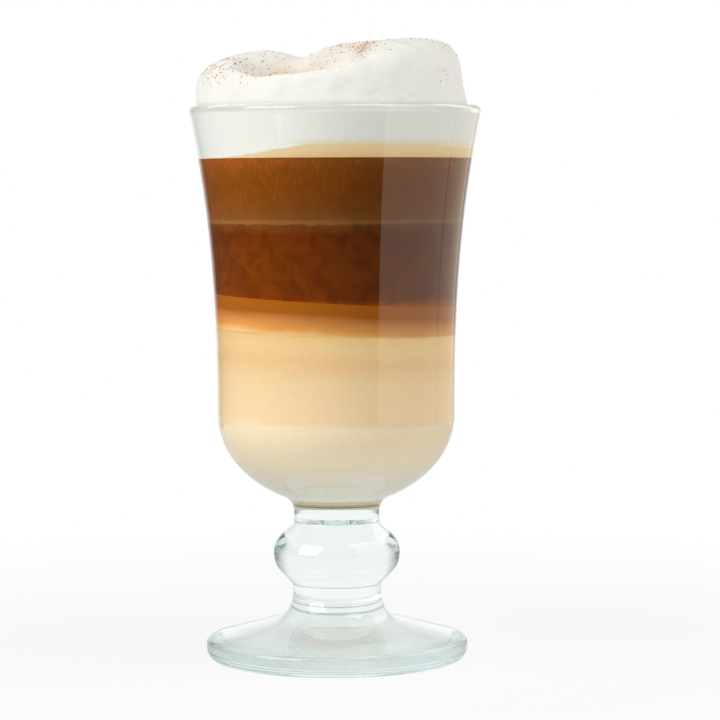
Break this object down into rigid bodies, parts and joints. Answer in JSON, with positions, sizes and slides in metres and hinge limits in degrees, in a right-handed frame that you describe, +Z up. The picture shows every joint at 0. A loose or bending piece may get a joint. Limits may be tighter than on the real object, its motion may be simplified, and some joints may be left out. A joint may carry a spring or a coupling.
{
  "type": "layered cappuccino in a footed glass",
  "caption": "Tall coffee glass on a foot with a knop, filled with layers of milk, latte, espresso and coffee under a head of milk foam that stands over the lip.",
  "frame": {"origin": "middle of the foot, on the surface that it stands on", "axes": "+Z up along the glass's axis, -Y towards the drinker, +X to the drinker's right"},
  "size_m": [0.0776, 0.0776, 0.1652],
  "materials": {
    "clear_glass": "smooth clear glass with a faint green-blue tint",
    "white_milk": "opaque warm white milk, wet against the glass",
    "latte_cream": "opaque creamy beige, wet against the glass",
    "milky_amber": "amber where coffee and milk meet",
    "dark_espresso": "very dark brown, almost opaque",
    "brown_coffee": "dark brown coffee",
    "tan_crema": "fine tan froth",
    "white_foam": "dense white milk foam with tiny bubbles"
  },
  "bodies": {
    "root": {"glass": "clear_glass", "milk": "white_milk", "latte": "latte_cream", "milky_coffee": "milky_amber", "espresso": "dark_espresso", "coffee": "brown_coffee", "crema": "tan_crema", "milk_foam": "white_foam"}
  },
  "joints": []
}
